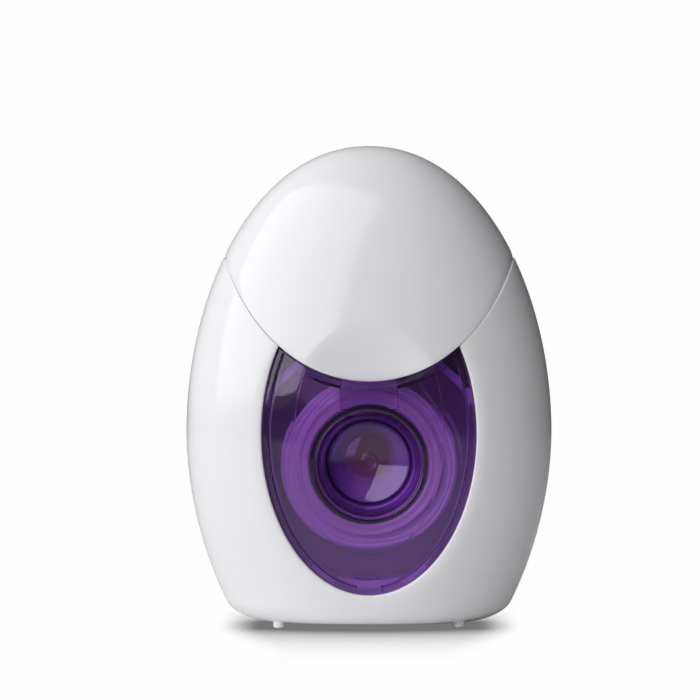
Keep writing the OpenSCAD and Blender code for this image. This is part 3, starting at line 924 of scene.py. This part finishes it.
def make_cutter(mats):
    """One stamped strip folded down into two legs, with a nose and a pinching notch."""
    t, r = 0.4, 0.62
    z0, z1, ya, yb = 44.3, 47.35, -3.4, 1.6
    arc = np.radians(np.linspace(0, 90, 9))
    out = [(ya, z0)] + [(ya + r - r * math.cos(a), z1 - r + r * math.sin(a)) for a in arc] + \
        [(yb - r + r * math.sin(a), z1 - r + r * math.cos(a)) for a in arc] + [(yb, z0)]
    ri = r - t
    inn = [(yb - t, z0)] + [(yb - r + ri * math.cos(a), z1 - r + ri * math.sin(a)) for a in arc] + \
        [(ya + r - ri * math.sin(a), z1 - r + ri * math.cos(a)) for a in arc] + [(ya + t, z0)]
    o = prism("cutter", out + inn, 3.6, 7.0, mats)
    # the flat of the plate, which stands out beyond the fold on both sides
    flat = [(3.25, -2.78), (2.62, -2.3), (2.1, -1.37), (4.9, -1.36), (4.9, -0.64), (2.9, -0.62),
            (3.2, 0.98), (7.4, 0.98), (7.4, -2.78)]
    n = len(flat)
    pts = [(x, y, z) for z in (z1 - t + 0.001, z1 - 0.001) for x, y in flat]
    faces = [list(range(n))[::-1], list(range(n, 2 * n))] + \
        [[j, (j + 1) % n, n + (j + 1) % n, n + j] for j in range(n)]
    boolean(o, [solid("flat", pts, faces, [])], "UNION")
    notch = [(4.0, -1.36), (4.9, -1.36), (4.9, -0.64), (4.0, -0.64)]
    pts = [(x, y, z) for z in (46.5, 47.6) for x, y in notch]
    faces = [[3, 2, 1, 0], [4, 5, 6, 7]] + [[j, (j + 1) % 4, 4 + (j + 1) % 4, 4 + j] for j in range(4)]
    boolean(o, [solid("notch", pts, faces, [])], "DIFFERENCE")
    round_edges(o, 0.045, 2, 25)
    apply_all(o)
    return o


# ---------------------------------------------------------------- materials
def material(name):
    m = bpy.data.materials.new(name)
    m.use_nodes = True
    t = m.node_tree
    t.nodes.clear()
    out = t.nodes.new("ShaderNodeOutputMaterial")
    b = t.nodes.new("ShaderNodeBsdfPrincipled")
    t.links.new(b.outputs[0], out.inputs[0])
    return m, t, b, out


def noise(t, scale, detail=2.0, rough=0.5, stretch=(1, 1, 1), distort=0.0):
    """Noise in the object's own coordinates; scale is per metre."""
    co = t.nodes.new("ShaderNodeTexCoord")
    mp = t.nodes.new("ShaderNodeMapping")
    mp.inputs["Scale"].default_value = stretch
    n = t.nodes.new("ShaderNodeTexNoise")
    n.inputs["Scale"].default_value = scale
    n.inputs["Detail"].default_value = detail
    n.inputs["Roughness"].default_value = rough
    n.inputs["Distortion"].default_value = distort
    t.links.new(co.outputs["Object"], mp.inputs[0])
    t.links.new(mp.outputs[0], n.inputs["Vector"])
    return n


def ramp(t, src, lo, hi, a, b):
    r = t.nodes.new("ShaderNodeMapRange")
    r.inputs["From Min"].default_value, r.inputs["From Max"].default_value = lo, hi
    r.inputs["To Min"].default_value, r.inputs["To Max"].default_value = a, b
    t.links.new(src, r.inputs["Value"])
    return r


def tint(t, src, lo, hi, c0, c1):
    r = t.nodes.new("ShaderNodeValToRGB")
    r.color_ramp.elements[0].position, r.color_ramp.elements[0].color = lo, (*c0, 1)
    r.color_ramp.elements[1].position, r.color_ramp.elements[1].color = hi, (*c1, 1)
    t.links.new(src, r.inputs["Fac"])
    return r


def bumps(t, b, parts):
    """parts is a list of (height socket, distance in metres)."""
    prev = None
    for src, dist in parts:
        n = t.nodes.new("ShaderNodeBump")
        n.inputs["Strength"].default_value = 1.0
        n.inputs["Distance"].default_value = dist
        t.links.new(src, n.inputs["Height"])
        if prev:
            t.links.new(prev.outputs[0], n.inputs["Normal"])
        prev = n
    t.links.new(prev.outputs[0], b.inputs["Normal"])


def white_plastic(name="casing_gloss", rough=(0.10, 0.17), base=(0.80, 0.80, 0.815)):
    m, t, b, _ = material(name)
    flow = noise(t, 45, 2, 0.5, (1, 1, 0.55), 0.4)
    fine = noise(t, 900, 3, 0.6)
    wear = noise(t, 260, 5, 0.65, distort=0.6)
    c = tint(t, flow.outputs["Fac"], 0.3, 0.75, base, tuple(v * 1.018 for v in base))
    t.links.new(c.outputs[0], b.inputs["Base Color"])
    r = ramp(t, wear.outputs["Fac"], 0.35, 0.75, *rough)
    t.links.new(r.outputs[0], b.inputs["Roughness"])
    b.inputs["IOR"].default_value = 1.49
    b.inputs["Subsurface Weight"].default_value = 0.12
    b.inputs["Subsurface Radius"].default_value = (1.0, 0.95, 0.9)
    b.inputs["Subsurface Scale"].default_value = 0.0012
    bumps(t, b, [(flow.outputs["Fac"], 0.00010), (fine.outputs["Fac"], 0.0000018)])
    return m


def clear_purple(name="window_clear", base=(0.68, 0.41, 0.90), clear=0.985, density=400.0,
                 tone=(0.66, 0.46, 0.77), lamp=(0.98, 0.95, 0.99), rough=0.04, wave=0.00008):
    m, t, b, out = material(name)
    flow = noise(t, 90, 2, 0.5, (1, 1, 1), 0.6)
    b.inputs["Base Color"].default_value = (*base, 1)
    b.inputs["Roughness"].default_value = rough
    b.inputs["IOR"].default_value = 1.57
    b.inputs["Transmission Weight"].default_value = clear
    bumps(t, b, [(flow.outputs["Fac"], wave)])
    path = t.nodes.new("ShaderNodeLightPath")
    see = t.nodes.new("ShaderNodeBsdfTransparent")
    see.inputs[0].default_value = (*lamp, 1)
    mix = t.nodes.new("ShaderNodeMixShader")
    t.links.new(path.outputs["Is Shadow Ray"], mix.inputs[0])
    t.links.new(b.outputs[0], mix.inputs[1])
    t.links.new(see.outputs[0], mix.inputs[2])
    t.links.new(mix.outputs[0], out.inputs[0])
    v = t.nodes.new("ShaderNodeVolumeAbsorption")
    v.inputs["Color"].default_value = (*tone, 1)
    v.inputs["Density"].default_value = density
    t.links.new(v.outputs[0], out.inputs["Volume"])
    return m


def milky_purple(name="housing_milky"):
    """Lilac plastic that lets little light through, with a dark brown disc on the face of its spigot."""
    m = clear_purple(name, (0.92, 0.80, 0.98), 0.12, 200.0, (0.6, 0.4, 0.8), (0.96, 0.93, 0.98),
                     0.10, 0.00005)
    t = m.node_tree
    b = next(n for n in t.nodes if n.type == "BSDF_PRINCIPLED")
    # a dark brown disc round the hub's axis on the spigot's face, lilac outside it
    co = t.nodes.new("ShaderNodeTexCoord")
    mp = t.nodes.new("ShaderNodeMapping")
    mp.inputs["Location"].default_value = (0.0002, 0.0, -HUB_Z * 0.001 - 0.0009)
    mp.inputs["Scale"].default_value = (1, 0.02, 1)
    t.links.new(co.outputs["Object"], mp.inputs[0])
    far = t.nodes.new("ShaderNodeVectorMath")
    far.operation = "LENGTH"
    t.links.new(mp.outputs[0], far.inputs[0])
    c = tint(t, ramp(t, far.outputs["Value"], 0.0028, 0.0042, 0, 1).outputs[0], 0, 1,
             (0.40, 0.20, 0.16), (0.92, 0.80, 0.98))
    t.links.new(c.outputs[0], b.inputs["Base Color"])
    return m


def satin(name, base, rough, scale=700, deep=0.000006):
    m, t, b, _ = material(name)
    n = noise(t, scale, 4, 0.6)
    w = noise(t, 120, 2)
    c = tint(t, w.outputs["Fac"], 0.3, 0.7, tuple(v * 0.96 for v in base), base)
    t.links.new(c.outputs[0], b.inputs["Base Color"])
    r = ramp(t, n.outputs["Fac"], 0.3, 0.7, rough - 0.05, rough + 0.06)
    t.links.new(r.outputs[0], b.inputs["Roughness"])
    b.inputs["IOR"].default_value = 1.5
    bumps(t, b, [(n.outputs["Fac"], deep)])
    return m


def steel(name, stretch, rough=0.22):
    m, t, b, _ = material(name)
    n = noise(t, 2600, 3, 0.6, stretch)
    w = noise(t, 300, 3)
    c = tint(t, w.outputs["Fac"], 0.3, 0.7, (0.50, 0.50, 0.52), (0.62, 0.62, 0.63))
    t.links.new(c.outputs[0], b.inputs["Base Color"])
    b.inputs["Metallic"].default_value = 1.0
    r = ramp(t, n.outputs["Fac"], 0.25, 0.75, rough - 0.06, rough + 0.12)
    t.links.new(r.outputs[0], b.inputs["Roughness"])
    bumps(t, b, [(n.outputs["Fac"], 0.000004)])
    return m


def waxed(name, base=(0.84, 0.85, 0.83)):
    m, t, b, _ = material(name)
    n = noise(t, 3200, 3, 0.6, (1, 0.25, 1))
    w = noise(t, 500, 3, 0.6)
    c = tint(t, w.outputs["Fac"], 0.25, 0.75, tuple(v * 0.86 for v in base), base)
    t.links.new(c.outputs[0], b.inputs["Base Color"])
    r = ramp(t, n.outputs["Fac"], 0.3, 0.7, 0.38, 0.6)
    t.links.new(r.outputs[0], b.inputs["Roughness"])
    b.inputs["Sheen Weight"].default_value = 0.25
    b.inputs["Sheen Roughness"].default_value = 0.4
    bumps(t, b, [(n.outputs["Fac"], 0.00002)])
    return m


# ---------------------------------------------------------------- the pieces
WHITE = white_plastic()
PURPLE = clear_purple()
CUP = milky_purple()
DECK = satin("deck_satin", (0.78, 0.78, 0.79), 0.34)
CORE = satin("core_natural", (0.74, 0.73, 0.68), 0.42)
BLADE = steel("cutter_steel", (1, 0.05, 1))
PIN = steel("pin_steel", (0.05, 1, 1), 0.3)
FLOSS = waxed("floss_waxed")


def dress(node, mat, width=0.0):
    o = CAD[node]
    o.data.materials.clear()
    o.data.materials.append(mat)
    if width:
        round_edges(o, width, 2)


def stands(o, node, body):
    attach(o, body)
    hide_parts(node)


stands(finish_lid(make_lid([WHITE])), "flip_lid", "lid")
stands(finish_rear(make_rear([WHITE])), "rear_shell", "case")
stands(finish_front(make_front([WHITE])), "front_shell", "case")
stands(make_window([PURPLE]), "window_cover", "case")
stands(make_pin([PIN]), "lid_hinge_pin", "case")
stands(make_core([CORE]), "bobbin_core", "bobbin")
stands(make_winding([FLOSS]), "floss_winding", "bobbin")
stands(make_lead([FLOSS]), "floss_lead", "case")
stands(make_deck([DECK]), "top_deck", "case")
stands(make_cutter([BLADE]), "floss_cutter", "case")

dress("inner_housing", CUP, 0.15)


# ---------------------------------------------------------------- floor, light and camera
def stage():
    m, t, b, out = material("floor_paper")
    t.nodes.remove(b)
    n = noise(t, 60, 3)
    c = tint(t, n.outputs["Fac"], 0.3, 0.7, (0.86, 0.86, 0.865), (0.88, 0.88, 0.88))
    lit = t.nodes.new("ShaderNodeBsdfDiffuse")
    # painted falloff of light: the paper gets darker away from the object and ends under half a metre away
    far = t.nodes.new("ShaderNodeVectorMath")
    far.operation = "LENGTH"
    here = t.nodes.new("ShaderNodeTexCoord")
    t.links.new(here.outputs["Object"], far.inputs[0])
    fade = t.nodes.new("ShaderNodeMapRange")
    fade.interpolation_type = "SMOOTHSTEP"
    fade.inputs["From Min"].default_value, fade.inputs["From Max"].default_value = 0.41, 0.46
    t.links.new(far.outputs["Value"], fade.inputs["Value"])
    spill = t.nodes.new("ShaderNodeMapRange")
    spill.inputs["From Min"].default_value, spill.inputs["From Max"].default_value = 0.06, 0.22
    spill.inputs["To Min"].default_value, spill.inputs["To Max"].default_value = 0.0, 0.5
    t.links.new(far.outputs["Value"], spill.inputs["Value"])
    grey = t.nodes.new("ShaderNodeMix")
    grey.data_type = "RGBA"
    t.links.new(spill.outputs[0], grey.inputs[0])
    t.links.new(c.outputs[0], grey.inputs[6])
    grey.inputs[7].default_value = (0.05, 0.05, 0.05, 1)
    dim = t.nodes.new("ShaderNodeMix")
    dim.data_type = "RGBA"
    t.links.new(fade.outputs[0], dim.inputs[0])
    t.links.new(grey.outputs[2], dim.inputs[6])
    dim.inputs[7].default_value = (0.05, 0.05, 0.05, 1)
    t.links.new(dim.outputs[2], lit.inputs[0])
    # overexposed paper with a painted shadow, dark only where the object stands close over it
    near = t.nodes.new("ShaderNodeAmbientOcclusion")
    near.samples = 16
    near.inputs["Distance"].default_value = SHADE_REACH
    lift = t.nodes.new("ShaderNodeMapRange")
    lift.inputs["From Min"].default_value, lift.inputs["From Max"].default_value = 0.0, 1.0
    lift.inputs["To Min"].default_value, lift.inputs["To Max"].default_value = SHADE_LOW, SHADE_HIGH
    t.links.new(near.outputs["AO"], lift.inputs["Value"])
    held = t.nodes.new("ShaderNodeClamp")
    held.inputs["Min"].default_value, held.inputs["Max"].default_value = 0.18, 0.99
    t.links.new(lift.outputs[0], held.inputs["Value"])
    # the shade stays as wide as the foot of the object
    co = t.nodes.new("ShaderNodeTexCoord")
    sep = t.nodes.new("ShaderNodeSeparateXYZ")
    t.links.new(co.outputs["Object"], sep.inputs[0])
    wide = t.nodes.new("ShaderNodeMath")
    wide.operation = "ABSOLUTE"
    t.links.new(sep.outputs["X"], wide.inputs[0])
    side = t.nodes.new("ShaderNodeMapRange")
    side.interpolation_type = "SMOOTHSTEP"
    side.inputs["From Min"].default_value, side.inputs["From Max"].default_value = 0.0135, 0.0195
    # its outline narrows towards the camera's side
    ahead = t.nodes.new("ShaderNodeMath")
    ahead.operation = "MULTIPLY_ADD"
    t.links.new(sep.outputs["Y"], ahead.inputs[0])
    ahead.inputs[1].default_value, ahead.inputs[2].default_value = -0.12, -0.00132
    only = t.nodes.new("ShaderNodeMath")
    only.operation = "MAXIMUM"
    t.links.new(ahead.outputs[0], only.inputs[0])
    only.inputs[1].default_value = 0.0
    reach = t.nodes.new("ShaderNodeMath")
    t.links.new(wide.outputs[0], reach.inputs[0])
    t.links.new(only.outputs[0], reach.inputs[1])
    t.links.new(reach.outputs[0], side.inputs["Value"])
    # and fades out soon behind it
    rear = t.nodes.new("ShaderNodeMapRange")
    rear.interpolation_type = "SMOOTHSTEP"
    rear.inputs["From Min"].default_value, rear.inputs["From Max"].default_value = 0.008, 0.035
    t.links.new(sep.outputs["Y"], rear.inputs["Value"])
    front = t.nodes.new("ShaderNodeMapRange")
    front.interpolation_type = "SMOOTHSTEP"
    front.inputs["From Min"].default_value, front.inputs["From Max"].default_value = -0.045, -0.085
    t.links.new(sep.outputs["Y"], front.inputs["Value"])
    ends = t.nodes.new("ShaderNodeMath")
    ends.operation = "MAXIMUM"
    t.links.new(rear.outputs[0], ends.inputs[0])
    t.links.new(front.outputs[0], ends.inputs[1])
    round_ = t.nodes.new("ShaderNodeMath")
    round_.operation = "MAXIMUM"
    t.links.new(ends.outputs[0], round_.inputs[0])
    t.links.new(side.outputs[0], round_.inputs[1])
    cap = t.nodes.new("ShaderNodeMix")
    cap.data_type = "FLOAT"
    t.links.new(round_.outputs[0], cap.inputs[0])
    t.links.new(held.outputs[0], cap.inputs[2])
    cap.inputs[3].default_value = 0.99
    # the floor's glow, which carries the painted shadow
    burnt = t.nodes.new("ShaderNodeEmission")
    burnt.inputs[0].default_value = (1, 1, 1, 1)
    t.links.new(cap.outputs[0], burnt.inputs[1])
    path = t.nodes.new("ShaderNodeLightPath")
    mix = t.nodes.new("ShaderNodeMixShader")
    t.links.new(path.outputs["Is Camera Ray"], mix.inputs[0])
    t.links.new(lit.outputs[0], mix.inputs[1])
    t.links.new(burnt.outputs[0], mix.inputs[2])
    t.links.new(mix.outputs[0], out.inputs[0])
    me = bpy.data.meshes.new("floor")
    s = 4.0
    me.from_pydata([(-s, -s, 0), (s, -s, 0), (s, s, 0), (-s, s, 0)], [], [(0, 1, 2, 3)])
    o = bpy.data.objects.new("floor", me)
    scene.collection.objects.link(o)
    me.materials.append(m)

    w = bpy.data.worlds.new("studio")
    scene.world = w
    w.use_nodes = True
    t = w.node_tree
    t.nodes.clear()
    out = t.nodes.new("ShaderNodeOutputWorld")
    bg = t.nodes.new("ShaderNodeBackground")
    seen = t.nodes.new("ShaderNodeBackground")
    seen.inputs[0].default_value = (1, 1, 1, 1)
    seen.inputs[1].default_value = 0.99
    # dim room, darker to the right of the object
    co = t.nodes.new("ShaderNodeTexCoord")
    sep = t.nodes.new("ShaderNodeSeparateXYZ")
    t.links.new(co.outputs["Generated"], sep.inputs[0])
    r = t.nodes.new("ShaderNodeMapRange")
    r.inputs["From Min"].default_value, r.inputs["From Max"].default_value = -0.9, 0.45
    r.inputs["To Min"].default_value, r.inputs["To Max"].default_value = ROOM_LEFT, ROOM_RIGHT
    t.links.new(sep.outputs["X"], r.inputs["Value"])
    bg.inputs[0].default_value = (0.97, 0.98, 1.0, 1)
    # a dark card round the camera
    card = t.nodes.new("ShaderNodeMapRange")
    card.interpolation_type = "SMOOTHSTEP"
    card.inputs["From Min"].default_value, card.inputs["From Max"].default_value = -0.985, -0.90
    card.inputs["To Min"].default_value, card.inputs["To Max"].default_value = 0.18, 1.0
    t.links.new(sep.outputs["Y"], card.inputs["Value"])
    both = t.nodes.new("ShaderNodeMath")
    both.operation = "MULTIPLY"
    t.links.new(r.outputs[0], both.inputs[0])
    t.links.new(card.outputs[0], both.inputs[1])
    # pale ceiling
    roof = t.nodes.new("ShaderNodeMapRange")
    roof.inputs["From Min"].default_value, roof.inputs["From Max"].default_value = 0.45, 1.0
    roof.inputs["To Min"].default_value, roof.inputs["To Max"].default_value = 0.0, ROOM_TOP
    t.links.new(sep.outputs["Z"], roof.inputs["Value"])
    slant = t.nodes.new("ShaderNodeMapRange")
    slant.inputs["From Min"].default_value, slant.inputs["From Max"].default_value = -0.6, 0.7
    slant.inputs["To Min"].default_value, slant.inputs["To Max"].default_value = 1.2, 0.25
    t.links.new(sep.outputs["X"], slant.inputs["Value"])
    above = t.nodes.new("ShaderNodeMath")
    above.operation = "MULTIPLY"
    t.links.new(roof.outputs[0], above.inputs[0])
    t.links.new(slant.outputs[0], above.inputs[1])
    total = t.nodes.new("ShaderNodeMath")
    t.links.new(both.outputs[0], total.inputs[0])
    t.links.new(above.outputs[0], total.inputs[1])
    t.links.new(total.outputs[0], bg.inputs[1])
    path = t.nodes.new("ShaderNodeLightPath")
    mix = t.nodes.new("ShaderNodeMixShader")
    t.links.new(path.outputs["Is Camera Ray"], mix.inputs[0])
    t.links.new(bg.outputs[0], mix.inputs[1])
    t.links.new(seen.outputs[0], mix.inputs[2])
    t.links.new(mix.outputs[0], out.inputs[0])


ROOM_LEFT, ROOM_RIGHT, ROOM_TOP = 0.42, 0.01, 0.36
SHADE_REACH, SHADE_LOW, SHADE_HIGH = 0.08, -1.0, 1.07


def softbox(name, az, el, dist, width, height, radiance, colour=(1, 1, 1)):
    """A soft light whose middle is az degrees left of the camera's side and el up."""
    d = bpy.data.lights.new(name, "AREA")
    d.shape = "RECTANGLE"
    d.size, d.size_y = width, height
    d.energy = radiance * math.pi * width * height
    d.color = colour
    o = bpy.data.objects.new(name, d)
    a, e = math.radians(az), math.radians(el)
    way = Vector((-math.sin(a) * math.cos(e), -math.cos(a) * math.cos(e), math.sin(e)))
    o.location = Vector((0, 0, 0.03)) + way * dist
    o.rotation_mode = "QUATERNION"
    o.rotation_quaternion = way.to_track_quat("Z", "Y")
    scene.collection.objects.link(o)
    o.visible_camera = False
    return o


def camera():
    d = bpy.data.cameras.new("camera")
    o = bpy.data.objects.new("camera", d)
    d.sensor_width = 36
    dist, tilt = 2.2, math.radians(2.6)
    d.lens = 36 * dist / (700 * 0.000126)
    d.shift_x = -19 / 700
    d.clip_start, d.clip_end = 0.01, 20
    o.location = (0, -dist * math.cos(tilt), 0.03475 + dist * math.sin(tilt))
    o.rotation_euler = (math.radians(90) - tilt, 0, 0)
    scene.collection.objects.link(o)
    scene.camera = o


stage()
softbox("key", 45, 31.5, 0.62, 0.90, 0.72, 2.19)
camera()
scene.view_settings.view_transform = "Standard"
scene.view_settings.look = "None"
scene.cycles.max_bounces = 16
scene.cycles.transmission_bounces = 16
scene.cycles.transparent_max_bounces = 16
